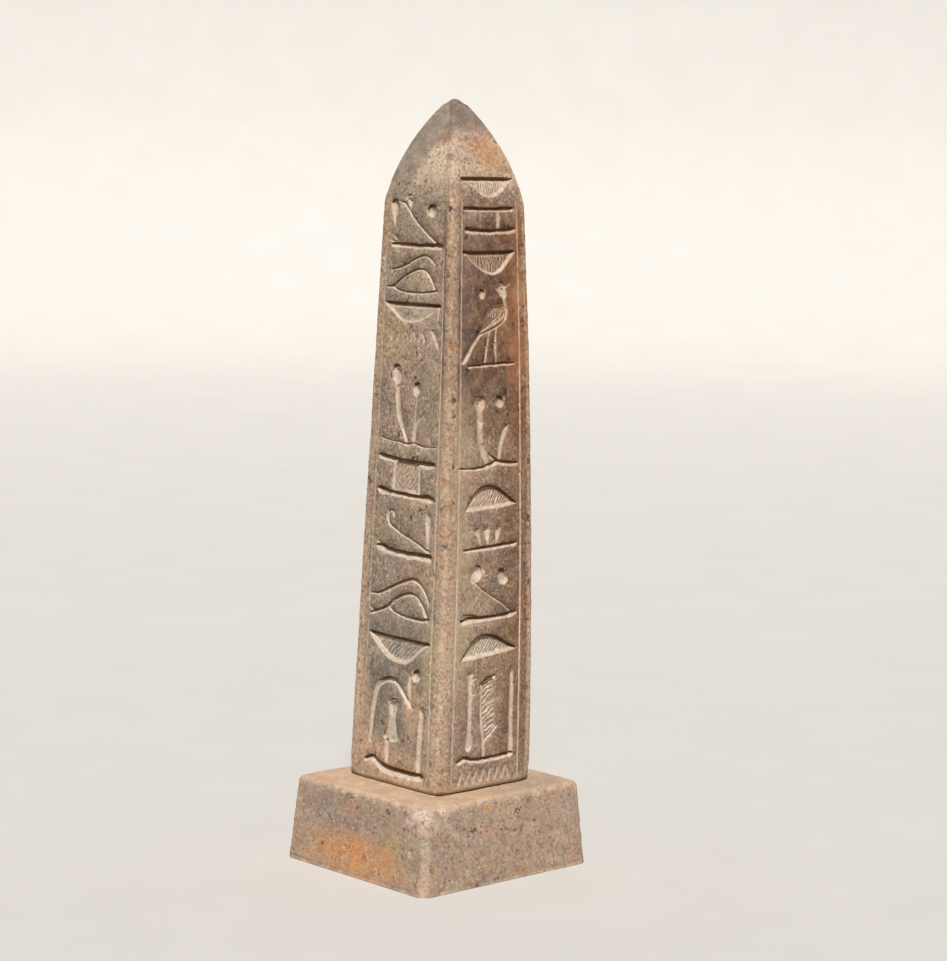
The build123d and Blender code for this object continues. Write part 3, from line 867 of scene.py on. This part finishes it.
class Bench:
    """Lays nodes in one material and wires them."""

    def __init__(self, name):
        self.material = bpy.data.materials.new(name)
        self.material.use_nodes = True
        self.tree = self.material.node_tree
        self.tree.nodes.clear()
        self.column, self.noises = 0, {}    # nodes laid so far, and the noises to use again
        self.place = self.node("ShaderNodeTexCoord").outputs["Object"]

    def node(self, kind, inputs=None, **values):
        """A new node, its inputs wired or set, and its other values set."""
        made = self.tree.nodes.new(kind)
        self.column += 1
        made.location = (180 * (self.column % 24), -260 * (self.column // 24))
        for key, value in values.items():
            setattr(made, key, value)
        for key, value in (inputs or {}).items():
            if isinstance(value, bpy.types.NodeSocket):
                self.tree.links.new(value, made.inputs[key])
            else:
                made.inputs[key].default_value = value
        return made

    def grain(self, size, detail=4, rough=0.6, twist=0.0, at=None, away=0.0):
        """Noise whose patches are about `size` millimetres across, taken `away` metres off along X."""
        known = (size, detail, rough, twist, away)
        if at is None and known in self.noises:
            return self.noises[known]
        place = at or self.place
        if away:
            place = self.shifted(place, (away, 0, 0))
        made = self.node("ShaderNodeTexNoise", {
            "Vector": place, "Scale": 1 / (size * MM), "Detail": detail,
            "Roughness": rough, "Distortion": twist}).outputs["Fac"]
        if at is None:
            self.noises[known] = made
        return made

    def spots(self, size):
        """Scattered seats about `size` millimetres apart: how far off the nearest is, and its three lots."""
        made = self.node("ShaderNodeTexVoronoi", {"Vector": self.place, "Scale": 1 / (size * MM)})
        lots = self.node("ShaderNodeSeparateColor", {0: made.outputs["Color"]}).outputs
        return made.outputs["Distance"], lots

    def math(self, operation, a, b=0.5):
        return self.node("ShaderNodeMath", {0: a, 1: b}, operation=operation).outputs[0]

    def times(self, a, b):
        return self.math("MULTIPLY", a, b)

    def plus(self, a, b):
        return self.math("ADD", a, b)

    def less(self, a, b):
        return self.math("SUBTRACT", a, b)

    def span(self, value, low, high, to_low=0.0, to_high=1.0):
        """Maps low..high to 0..1, smoothly."""
        return self.node("ShaderNodeMapRange", {
            "Value": value, "From Min": low, "From Max": high, "To Min": to_low, "To Max": to_high},
            interpolation_type="SMOOTHSTEP").outputs["Result"]

    def ragged(self, value, noise_value, sway, low, high):
        """The same as span, its edge made to wander by noise."""
        return self.span(self.plus(value, self.times(noise_value, sway)), low, high)

    def mix(self, share, a, b, blend="MIX"):
        """A share of b over a; either is a socket or three numbers."""
        a, b = (v if isinstance(v, bpy.types.NodeSocket) else (*v, 1.0) for v in (a, b))
        return self.node("ShaderNodeMix", {0: share, 6: a, 7: b},
                         data_type="RGBA", blend_type=blend, clamp_factor=True).outputs[2]

    def read(self, name):
        """A value for each point, as paint wrote it."""
        return self.node("ShaderNodeAttribute", attribute_name=name).outputs["Fac"]

    def shifted(self, place, by):
        """A place moved by three numbers in metres."""
        return self.node("ShaderNodeVectorMath", {0: place, 1: by}, operation="ADD").outputs[0]

    def patch(self, centre, size, soft, ragged, grain):
        """A ragged stain: 1 in its middle, 0 outside. Centre and half sizes in millimetres."""
        away = self.shifted(self.place, tuple(-c * MM for c in centre))
        scaled = self.node("ShaderNodeVectorMath", {0: away, 1: tuple(1 / (s * MM) for s in size)},
                           operation="MULTIPLY").outputs[0]
        far = self.node("ShaderNodeVectorMath", {0: scaled}, operation="LENGTH").outputs["Value"]
        wander = self.times(self.less(self.grain(grain, 4, 0.65), 0.5), 2 * ragged)
        return self.span(self.plus(far, wander), 1.0 + soft / 2, 1.0 - soft)

    def finish(self, colour, rough, height, strength, distance):
        """Ends the material in a matt stone skin with the given bumps."""
        bump = self.node("ShaderNodeBump", {"Height": height, "Strength": strength, "Distance": distance})
        skin = self.node("ShaderNodeBsdfPrincipled", {
            "Base Color": colour, "Roughness": rough, "Normal": bump.outputs["Normal"],
            "Specular IOR Level": 0.28})
        self.node("ShaderNodeOutputMaterial", {"Surface": skin.outputs["BSDF"]})
        return self.material


class Coat:
    """A colour that tint after tint is laid over."""

    def __init__(self, bench, colour):
        self.bench, self.colour = bench, colour

    def mix(self, share, tint, blend="MIX"):
        """A share of a tint, which may be a coat itself."""
        tint = tint.colour if isinstance(tint, Coat) else tint
        self.colour = self.bench.mix(share, self.colour, tint, blend)

    def lay(self, where, most, tint, blend="MIX"):
        """Up to a share `most` of the tint where `where` is 1."""
        self.mix(self.bench.times(where, most), tint, blend)

    def over(self, *rows):
        """Rows of value, low, high, most, tint: up to `most` of it as the value goes from low to high."""
        for value, low, high, most, tint in rows:
            self.mix(self.bench.span(value, low, high, 0, most), tint)

    def tinted(self, *rows):
        """Ragged patches: rows of size, place of their noise, its low and high end, most, tint."""
        for size, away, low, high, most, tint in rows:
            self.over((self.bench.grain(size, 3, 0.64, away=away), low, high, most, tint))

    def stained(self, soft, ragged, grain, stains):
        """Stains: rows of centre, half sizes, tint, share."""
        for centre, size, tint, share in stains:
            self.lay(self.bench.patch(centre, size, soft, ragged, grain), share, tint)


def curled(b, size, width, twist=3.0, shift=0.5):
    """Thin curling lines, as a rasp and grit leave them."""
    off = b.math("ABSOLUTE", b.less(b.grain(size, 2, 0.5, twist), shift))
    return b.span(off, width, width * 0.25)


def stone_skin(b, ground, pepper, hairy):
    """Lays mottling, salt and pepper, curled rasp hairs and dark pits over the ground of either stone.

    Gives back three noises, the hairs and the height of the surface.
    """
    ground.tinted(
        (6.5, 0.71, 0.52, 0.66, 0.36, (0.52, 0.4, 0.28)), (5, 0.93, 0.53, 0.66, 0.42, (0.125, 0.082, 0.06)),
        (3, 0.13, 0.51, 0.63, 0.42, (0.38, 0.2, 0.125)), (4, 0.29, 0.53, 0.65, 0.36, (0.41, 0.3, 0.18)),
        (2.4, 0.47, 0.54, 0.66, 0.5, (0.19, 0.17, 0.165)))
    mottle = b.grain(5, 5, 0.62)
    mid = b.grain(1.15, 4, 0.7, 0.35)
    fine = b.grain(0.5, 2, 0.6)
    for pattern, low, high, most, tint in (
            (mid, 0.49, 0.35, 0.74, (0.085, 0.054, 0.04)), (mid, 0.53, 0.66, 0.62, (0.72, 0.58, 0.45)),
            (fine, 0.44, 0.3, 0.45, (0.07, 0.048, 0.036))):
        ground.lay(b.times(b.span(pattern, low, high), most), pepper, tint)
    tufts = b.span(b.grain(7, away=0.53), 0.4, 0.6, 0.15, 1.0)
    if isinstance(pepper, bpy.types.NodeSocket):    # where the stone is calm, so are its hairs
        tufts = b.times(tufts, pepper)
    hair = b.math("MAXIMUM", curled(b, 1.9, 0.03), curled(b, 3.1, 0.018, 4.5, 0.44))
    hair = b.times(hair, tufts)
    ground.lay(hair, 0.42 * hairy, (0.76, 0.62, 0.48))
    dark_hair = b.times(curled(b, 2.1, 0.022, 3.5, 0.57), tufts)
    ground.lay(dark_hair, 0.45 * hairy, (0.08, 0.048, 0.034))
    # dark pits, of which the smallest also dent the surface
    for size, low, near, most in ((13, 0.62, 0.115, 0.78), (6.2, 0.7, 0.19, 0.85), (3.1, 0.8, 0.24, 0.6)):
        far, lots = b.spots(size)
        ragged = b.plus(far, b.times(b.less(mid, 0.5), 0.9))
        pit = b.times(b.span(ragged, near, 0.5 * near), b.math("GREATER_THAN", lots[0], low))
        ground.lay(pit, most, (0.045, 0.032, 0.03))
    height = b.plus(b.times(mid, 1.2), b.times(fine, 0.5))
    height = b.plus(height, b.times(hair, 0.22 * hairy))
    height = b.less(height, b.times(dark_hair, 0.22 * hairy))
    height = b.less(height, pit)
    return mottle, mid, fine, hair, height


# centre and half sizes in millimetres, tint, share
SHAFT_STAINS = (
    ((24, 18, 212), (8, 9, 50), (0.46, 0.175, 0.062), 0.8),
    ((24, 20, 172), (8, 7, 26), (0.31, 0.13, 0.068), 0.8),
    ((22, -10, 250), (8, 8, 7), (0.38, 0.29, 0.22), 0.6),
    ((24, 17, 226), (6, 4, 7), (0.62, 0.31, 0.17), 0.6),
    ((25, -2, 175), (6, 13, 8), (0.19, 0.115, 0.075), 0.5),
    ((24, -6, 188), (6, 5, 7), (0.14, 0.085, 0.065), 0.45),
    ((24, 16, 237), (6, 4, 6), (0.2, 0.1, 0.06), 0.5),
    ((24, 7, 213), (6, 5, 9), (0.4, 0.15, 0.05), 0.45),
    ((26, 15, 134), (6, 5, 12), (0.24, 0.125, 0.08), 0.45),
    ((26, -8, 156), (7, 14, 9), (0.48, 0.36, 0.26), 0.45),
    ((25, 14, 160), (6, 5, 7), (0.42, 0.29, 0.21), 0.5),
    ((26, -8, 102), (7, 14, 6), (0.48, 0.37, 0.28), 0.5),
    ((6, -22, 224), (14, 8, 11), (0.54, 0.42, 0.32), 0.45),
    ((-4, -23, 200), (14, 8, 8), (0.48, 0.36, 0.27), 0.35),
    ((9, -24, 163), (7, 6, 6), (0.5, 0.38, 0.27), 0.5),
    ((-10, -25, 88), (9, 6, 5), (0.4, 0.33, 0.25), 0.45),
    ((26, 16, 80), (6, 6, 8), (0.44, 0.31, 0.23), 0.6),
    ((14, -26, 38), (12, 8, 7), (0.7, 0.5, 0.34), 0.6),
    ((-14, -26, 48), (8, 8, 7), (0.66, 0.45, 0.31), 0.55),
    ((26, 19, 98), (8, 6, 18), (0.34, 0.135, 0.065), 0.6),
    ((26, 6, 74), (8, 14, 9), (0.3, 0.16, 0.1), 0.55),
    ((26, -8, 150), (8, 9, 12), (0.3, 0.15, 0.09), 0.5),
    ((24, -12, 240), (8, 6, 13), (0.3, 0.215, 0.19), 0.55),
    ((27, -12, 92), (8, 8, 13), (0.42, 0.33, 0.18), 0.55),
    ((22, -24, 84), (9, 9, 15), (0.48, 0.37, 0.19), 0.5),
    ((24, -24, 58), (9, 9, 12), (0.54, 0.35, 0.26), 0.45),
    ((21, -22, 128), (9, 9, 12), (0.5, 0.3, 0.2), 0.45),
    ((-24, -16, 208), (8, 10, 42), (0.4, 0.145, 0.058), 0.8),
    ((-25, -13, 110), (8, 9, 20), (0.3, 0.115, 0.06), 0.65),
    ((-10, -23, 208), (10, 8, 12), (0.45, 0.34, 0.155), 0.65),
    ((4, -24, 196), (7, 8, 9), (0.15, 0.115, 0.105), 0.55),
    ((-16, -23, 184), (5, 8, 14), (0.15, 0.11, 0.095), 0.5),
    ((-4, -24, 132), (12, 8, 8), (0.22, 0.185, 0.13), 0.5),
    ((-19, -24, 60), (6, 9, 26), (0.52, 0.34, 0.2), 0.6),
    ((0, -26, 40), (25, 8, 10), (0.64, 0.42, 0.28), 0.75),
    ((-4, -26, 46), (3, 6, 5), (0.56, 0.24, 0.17), 0.7),
    ((11, -25, 66), (6, 6, 14), (0.58, 0.38, 0.24), 0.75),
    ((9, 23, 150), (11, 8, 14), (0.4, 0.31, 0.12), 0.6),
    ((11, -22, 216), (8, 8, 16), (0.46, 0.37, 0.28), 0.7),
    ((0, -22, 199), (9, 8, 10), (0.5, 0.35, 0.24), 0.6),
    ((-15, -21, 249), (5, 8, 9), (0.46, 0.33, 0.24), 0.65),
    ((-2, -21, 236), (9, 8, 6), (0.19, 0.15, 0.11), 0.6),
    ((3, -23, 162), (6, 8, 7), (0.5, 0.37, 0.25), 0.5),
    ((-17, -24, 112), (6, 9, 22), (0.21, 0.19, 0.155), 0.6),
    ((26, -6, 60), (8, 22, 22), (0.34, 0.225, 0.17), 0.45))
BLOCK_STAINS = (
    ((-8, -43, 23), (28, 8, 8), (0.27, 0.205, 0.18), 0.75),
    ((-38, -44, 24), (6, 8, 10), (0.58, 0.36, 0.25), 0.55),
    ((-4, -43, 27), (5, 8, 5), (0.52, 0.27, 0.12), 0.5),
    ((22, -44, 12), (9, 8, 11), (0.45, 0.33, 0.13), 0.65),
    ((37, -40, 31), (13, 13, 7), (0.66, 0.52, 0.44), 0.8),
    ((42, -24, 23), (8, 10, 9), (0.3, 0.265, 0.215), 0.7),
    ((42, 18, 14), (8, 20, 12), (0.36, 0.215, 0.17), 0.55),
    ((42, 33, 22), (8, 8, 10), (0.34, 0.29, 0.24), 0.5),
    ((-42, 10, 12), (8, 24, 9), (0.46, 0.24, 0.11), 0.5),
    ((10, 44, 16), (26, 8, 10), (0.44, 0.25, 0.12), 0.45))


def shaft_stone():
    """Stone of the shaft: beds and stains, rasped corners, a two-toned tip, bared cuts with painted shade in
    them.
    """
    c = settings("stone_colours")
    b = Bench("shaft_stone_rubbed")
    x, y, z = b.node("ShaderNodeSeparateXYZ", {0: b.place}).outputs
    bared, painted_shade, rasped = b.read("bared"), b.read("painted_shade"), b.read("rasped")
    sideways = b.span(b.less(b.math("ABSOLUTE", x), b.math("ABSOLUTE", y)), -1 * MM, 1 * MM)
    ground = Coat(b, b.mix(sideways, c.olive, c.brown))
    ground.tinted(
        (20, 0.31, 0.5, 0.6, 0.65, (0.39, 0.285, 0.165)), (16, 0.67, 0.52, 0.62, 0.55, (0.36, 0.205, 0.145)),
        (13, 1.13, 0.54, 0.64, 0.6, (0.17, 0.16, 0.15)))
    # blue-grey bed low on front and back
    low_bed = b.times(b.ragged(z, b.grain(34), 0.05, 0.14, 0.11), b.span(z, 0.04, 0.066))
    across = b.ragged(b.math("ABSOLUTE", x), b.grain(10), 0.012, 0.0235, 0.0195)
    bed = b.times(b.times(low_bed, across), b.times(b.less(1.0, sideways), 0.85))
    ground.mix(bed, c.slate)
    # dark heart high on the two sides
    heart = b.times(b.times(sideways, b.ragged(z, b.grain(12), 0.03, 0.178, 0.215)),
                   b.ragged(z, b.grain(12), 0.016, 0.276, 0.254))
    around = b.times(y, b.math("SIGN", x))
    mauve = b.ragged(around, b.grain(12), 0.012, 0.006, -0.006)
    ground.lay(heart, 0.9, b.mix(mauve, (0.125, 0.056, 0.03), (0.15, 0.096, 0.076)))
    ground.stained(0.6, 0.5, 8, SHAFT_STAINS)
    # the heart and the bed are calmer
    calm = b.less(b.less(1.0, b.times(heart, 0.62)), b.times(bed, 0.42))
    mottle, mid, fine, hair, height = stone_skin(b, ground, calm, 1.0)
    # painted shade darkens each side towards one of its corners, and painted light brightens it towards the
    # other
    below = b.times(sideways, b.times(b.span(z, 0.196, 0.178), b.span(z, 0.034, 0.056)))
    uneven = b.plus(around, b.times(b.less(b.grain(12), 0.5), 0.02))
    ground.mix(b.times(below, b.span(uneven, -0.001, 0.014)), (0.74, 0.64, 0.56), "MULTIPLY")
    lit = b.times(b.times(below, b.span(z, 0.06, 0.085)), b.span(uneven, -0.004, -0.014))
    ground.lay(lit, 0.34, (0.56, 0.42, 0.29))
    ground.lay(heart, 0.7, (0.68, 0.59, 0.52), "MULTIPLY")
    # a pale band just above the foot: dust, and painted light that lifts the shade where the shaft meets the
    # block
    foot_dust_and_light = b.ragged(z, b.grain(5, away=1.9), 0.006, 0.0415, 0.0365)
    ground.lay(foot_dust_and_light, 0.7, (0.68, 0.5, 0.35))
    # rasped corners
    far, lots = b.spots(3.6)
    ragged = b.plus(far, b.times(b.less(mid, 0.5), 0.9))
    corner = Coat(b, b.mix(b.span(mottle, 0.38, 0.62), c.pink, (0.5, 0.375, 0.24)))
    corner.over(
        (b.grain(9, 4, 0.62, away=2.1), 0.46, 0.6, 0.7, (0.33, 0.205, 0.145)),
        (b.grain(13, 3, 0.62, away=2.9), 0.5, 0.6, 0.45, (0.54, 0.395, 0.26)),
        (b.grain(4, 3, 0.6, away=2.6), 0.54, 0.64, 0.6, (0.4, 0.17, 0.095)),
        (z, 0.14, 0.1, 0.3, (0.66, 0.49, 0.34)), (mottle, 0.4, 0.3, 0.5, (0.36, 0.2, 0.13)),
        (mid, 0.5, 0.36, 0.8, (0.16, 0.092, 0.062)), (mid, 0.54, 0.66, 0.6, (0.78, 0.64, 0.49)))
    corner.lay(hair, 0.5, (0.8, 0.68, 0.54))
    for low, high, tint in ((0.68, 1.001, c.rust), (0.0, 0.131, (0.045, 0.036, 0.038))):
        within = b.times(b.math("GREATER_THAN", lots[1], low), b.math("LESS_THAN", lots[1], high))
        corner.lay(b.times(b.span(ragged, 0.42, 0.22), within), 0.92, tint)
    ground.lay(rasped, 0.72, corner)
    # pyramidion: smooth grey up one side of a slanting line, pale and speckled on the other
    slant = b.plus(b.plus(x, b.times(z, -0.74)), 0.2108)
    slant = b.plus(slant, b.times(b.grain(7, 4, 0.68), -0.016))
    high = b.ragged(z, b.grain(9), 0.012, 0.268, 0.282)
    summit = b.ragged(z, b.grain(6, away=0.4), 0.014, 0.29, 0.299)
    pale_facet = Coat(b, (0.67, 0.53, 0.4))
    pale_facet.over(
        (b.grain(4, 4, 0.62, away=1.7), 0.5, 0.64, 0.65, (0.31, 0.19, 0.12)),
        (mid, 0.5, 0.36, 0.85, (0.2, 0.1, 0.062)), (mid, 0.55, 0.66, 0.5, (0.84, 0.73, 0.6)))
    pale_facet.lay(hair, 0.5, (0.82, 0.7, 0.56))
    grey_facet = b.mix(b.span(b.grain(6, away=0.4), 0.4, 0.62), (0.185, 0.16, 0.138), (0.3, 0.25, 0.205))
    ground.lay(b.times(high, b.span(slant, -0.004, 0.006)), 0.82, pale_facet)
    grey = b.math("MAXIMUM", b.times(high, b.span(slant, 0.004, -0.006)), summit)
    ground.lay(grey, 0.64, grey_facet)
    specks = b.span(b.grain(1.7, 4, 0.65, 0.4, away=0.9), 0.5, 0.58)
    ground.lay(b.times(b.patch((13, 2, 281), (9, 8, 7), 1.0, 0.8, 3), specks), 0.95, (0.58, 0.19, 0.05))
    ground.stained(1.0, 0.9, 3, [((9, -9, 284), (5, 5, 4), (0.29, 0.15, 0.095), 0.55)])
    ground.stained(0.8, 0.6, 5, [((15, 6, 276), (8, 9, 8), (0.54, 0.27, 0.105), 0.55)])
    ground.mix(b.times(sideways, b.span(z, 0.268, 0.276)), (0.8, 0.78, 0.78), "MULTIPLY")
    # bared stone in the cuts, warmer up the two sides, and painted shade under their upper edges
    warm = b.times(b.times(sideways, b.span(z, 0.12, 0.19)), 0.8)
    cut_tone = Coat(b, b.mix(warm, c.cream, (0.55, 0.385, 0.262)))
    cut_tone.over(
        (b.grain(5, 3, 0.6, away=3.1), 0.5, 0.62, 0.6, (0.71, 0.63, 0.55)),
        (b.grain(1.6), 0.46, 0.32, 0.5, (0.34, 0.22, 0.145)), (bared, 0.86, 1.0, 0.85, (0.8, 0.75, 0.68)))
    share = b.times(bared, b.span(b.grain(1.5, 4, 0.66, away=0.23), 0.32, 0.56, 0.5, 0.94))
    ground.mix(share, cut_tone)
    # painted shade: ochre at its soft edge, dark brown where it is deepest
    shade_tone = b.mix(b.span(mottle, 0.45, 0.6), (0.058, 0.027, 0.01), (0.125, 0.058, 0.019))
    ground.over((painted_shade, 0.0, 0.45, 0.75, (0.34, 0.165, 0.055)), (painted_shade, 0.2, 0.9, 0.88, shade_tone))
    rough = b.span(b.plus(fine, b.times(mottle, 0.5)), 0.45, 1.0, 0.66, 0.92)
    return b.finish(ground.colour, rough, height, 0.8, 0.28 * MM)


def block_stone():
    """Stone of the block: beds, rust veins over its front, sand on its top, pale edges and scratches."""
    b = Bench("base_stone_rubbed")
    z = b.node("ShaderNodeSeparateXYZ", {0: b.place}).outputs[2]
    ground = Coat(b, settings("stone_colours").block)
    ground.over((b.grain(30), 0.42, 0.62, 0.6, (0.3, 0.225, 0.17)))
    ground.tinted(
        (9, 0.57, 0.5, 0.62, 0.45, (0.48, 0.27, 0.18)), (12, 0.83, 0.52, 0.62, 0.45, (0.33, 0.275, 0.2)))
    ground.stained(0.6, 0.7, 7, BLOCK_STAINS)
    ground.tinted(
        (7, 1.21, 0.51, 0.6, 0.55, (0.295, 0.262, 0.235)), (6, 1.47, 0.53, 0.62, 0.45, (0.46, 0.36, 0.19)),
        (5, 1.63, 0.52, 0.61, 0.5, (0.32, 0.205, 0.175)))
    # rust, a wash with a net of stronger veins
    wash = b.patch((0, -44, 8), (26, 8, 9), 0.8, 0.8, 5)
    ground.lay(wash, 0.7, (0.66, 0.37, 0.15))
    net = b.span(b.math("ABSOLUTE", b.less(b.grain(4.2, 4, 0.62, 1.2, away=0.19), 0.5)), 0.055, 0.02)
    veins = b.times(wash, net)
    ground.lay(veins, 0.95, (0.66, 0.2, 0.045))
    ground.stained(0.3, 0.2, 3, [((42, -9, 29.6), (6, 2.0, 1.5), (0.58, 0.26, 0.08), 0.9)])
    mottle, mid, fine, _, height = stone_skin(b, ground, 0.62, 0.7)
    ground.lay(veins, 0.55, (0.68, 0.235, 0.055))
    # mauve-brown grains a few millimetres across
    far, lots = b.spots(5.2)
    ragged = b.plus(far, b.times(b.less(mid, 0.5), 0.8))
    grains = b.times(b.span(ragged, 0.36, 0.2), b.math("GREATER_THAN", lots[2], 0.66))
    ground.lay(grains, 0.6, (0.26, 0.125, 0.095))
    on_top = b.ragged(z, b.grain(4), 0.0016, 0.0326, 0.0338)
    sand = Coat(b, b.mix(b.span(b.grain(9, away=1.3), 0.38, 0.62), (0.455, 0.31, 0.205),
                         (0.54, 0.385, 0.265)))
    sand.stained(0.8, 0.5, 8, [((30, 22, 34), (16, 22, 6), (0.31, 0.24, 0.185), 0.85)])
    sand.over((fine, 0.42, 0.3, 0.5, (0.25, 0.16, 0.11)))
    ground.lay(on_top, 0.8, sand)
    # pale edges, palest on the front corner
    ground.mix(b.times(b.read("edge"), b.span(b.grain(4), 0.46, 0.62, 0.0, 0.32)), (0.64, 0.5, 0.39))
    ground.stained(0.6, 0.4, 5, [((40.5, -43, 14), (2.8, 2.8, 24), (0.66, 0.49, 0.39), 0.35)])
    # faint slanting scratches
    turned = b.node("ShaderNodeMapping", {
        "Vector": b.place, "Rotation": (math.radians(38), 0, math.radians(-32)), "Scale": (1, 1, 14)})
    lines = b.grain(9, 2, 0.5, 0.2, turned.outputs[0])
    scratch = b.span(b.math("ABSOLUTE", b.less(lines, 0.5)), 0.02, 0.0)
    ground.lay(scratch, 0.38, (0.66, 0.55, 0.45))
    rough = b.span(b.plus(fine, b.times(mottle, 0.5)), 0.45, 1.0, 0.7, 0.94)
    height = b.less(height, b.times(scratch, 0.3))
    return b.finish(ground.colour, rough, height, 0.7, 0.3 * MM)


# --------------------------------------------------------------------- stage


def studio_paper():
    """Matt grey paper for the floor."""
    b = Bench("studio_paper")
    tone = b.mix(b.grain(60, 3, 0.5), (0.5, 0.495, 0.485), (0.54, 0.535, 0.525))
    return b.finish(tone, 0.9, b.grain(2, 2, 0.5), 0.05, 0.1 * MM)


def high_light(name, azimuth, elevation, strength, softness, tint):
    """A distant lamp that shines on the obelisk from the given side and height."""
    let_go()
    a, e = math.radians(azimuth), math.radians(elevation)
    back = Vector((math.sin(a) * math.cos(e), -math.cos(a) * math.cos(e), math.sin(e)))
    bpy.ops.object.light_add(type="SUN", location=back)
    lamp = bpy.context.active_object
    lamp.name = name
    lamp.rotation_euler = back.to_track_quat("Z", "Y").to_euler()
    lamp.data.energy = strength
    lamp.data.angle = softness
    lamp.data.color = tint


class OBELISK_OT_stage(bpy.types.Operator):
    """Lay the floor, hang the lights and set the camera"""

    bl_idname = "obelisk.stage"
    bl_label = "Stage"

    def execute(self, context):
        s = settings("studio_sizes")
        let_go()
        bpy.ops.mesh.primitive_circle_add(vertices=FLOOR_SIDES, radius=s.floor_radius, fill_type="NGON")
        floor = bpy.context.active_object
        floor.name = "floor"
        bpy.ops.object.mode_set(mode="EDIT")
        bpy.ops.mesh.select_mode(type="EDGE")
        for rise, spread in FLOOR_RINGS:
            bpy.ops.mesh.extrude_edges_move(TRANSFORM_OT_translate={"value": (0, 0, rise)})
            bpy.ops.transform.resize(value=(spread, spread, 1), center_override=(0, 0, 0))
        bpy.ops.mesh.select_all(action="SELECT")
        bpy.ops.mesh.normals_make_consistent(inside=True)
        bpy.ops.object.mode_set(mode="OBJECT")
        bpy.ops.object.shade_smooth()
        floor.data.materials.append(studio_paper())

        high_light("key_light", 50, 53, s.key_strength, s.key_softness, (1.0, 0.955, 0.895))
        high_light("back_light", 228, 14, s.back_strength, math.radians(50), (1.0, 0.97, 0.93))
        world = context.scene.world or bpy.data.worlds.new("room")
        context.scene.world = world
        world.use_nodes = True
        sky = world.node_tree.nodes.get("Background") or world.node_tree.nodes.new("ShaderNodeBackground")
        sky.inputs["Color"].default_value = (0.93, 0.95, 1.0, 1)
        sky.inputs["Strength"].default_value = s.sky_strength
        context.scene.view_settings.view_transform = "Standard"

        # the camera stands a little above the middle and looks slightly down
        azimuth, dip, tilt = math.radians(CAMERA_SIDE), math.radians(CAMERA_DIP), math.radians(CAMERA_TILT)
        let_go()
        bpy.ops.object.camera_add()
        camera = bpy.context.active_object
        camera.name = "camera"
        heading = azimuth + math.radians(CAMERA_TURN)
        ahead = Vector((-math.sin(heading) * math.cos(dip), math.cos(heading) * math.cos(dip),
                        -math.sin(dip)))
        right = ahead.cross(Vector((0, 0, 1))).normalized()
        up = right.cross(ahead)
        across = math.cos(tilt) * right + math.sin(tilt) * up
        above = -math.sin(tilt) * right + math.cos(tilt) * up
        place = Vector((CAMERA_REACH * math.sin(azimuth), -CAMERA_REACH * math.cos(azimuth), CAMERA_HEIGHT))
        camera.matrix_world = Matrix((
            (across.x, above.x, -ahead.x, place.x),
            (across.y, above.y, -ahead.y, place.y),
            (across.z, above.z, -ahead.z, place.z),
            (0, 0, 0, 1)))
        camera.data.lens = s.lens
        camera.data.sensor_width = 36
        camera.data.clip_start, camera.data.clip_end = 0.01, 50
        context.scene.camera = camera
        return {"FINISHED"}


# --------------------------------------------------------------------- panel


class OBELISK_PT_panel(bpy.types.Panel):
    bl_idname = "OBELISK_PT_panel"
    bl_label = "Carved Obelisk"
    bl_space_type = "VIEW_3D"
    bl_region_type = "UI"
    bl_category = "Obelisk"

    def draw(self, context):
        layout = self.layout
        for group, title in GROUPS.items():
            box = layout.box()
            box.label(text=title)
            values = getattr(context.scene, group)
            for name in values.__annotations__:
                box.prop(values, name)
        for step in STEPS:
            layout.operator(step.bl_idname)


SETTINGS = {
    "stone_colours": StoneColours,
    "carving_sizes": CarvingSizes,
    "obelisk_wear": Wear,
    "studio_sizes": StudioSizes,
}
GROUPS = {
    "stone_colours": "Stone",
    "carving_sizes": "Carving",
    "obelisk_wear": "Wear",
    "studio_sizes": "Studio",
}
STEPS = (OBELISK_OT_shaft, OBELISK_OT_block, OBELISK_OT_stage)


def register():
    for thing in (*SETTINGS.values(), *STEPS, OBELISK_PT_panel):
        bpy.utils.register_class(thing)
    for name, group in SETTINGS.items():
        setattr(bpy.types.Scene, name, bpy.props.PointerProperty(type=group))


def unregister():
    for name in SETTINGS:
        delattr(bpy.types.Scene, name)
    for thing in reversed((*SETTINGS.values(), *STEPS, OBELISK_PT_panel)):
        bpy.utils.unregister_class(thing)


def main():
    register()
    bpy.ops.obelisk.shaft()
    bpy.ops.obelisk.block()
    bpy.ops.obelisk.stage()


if __name__ == "__main__":
    main()
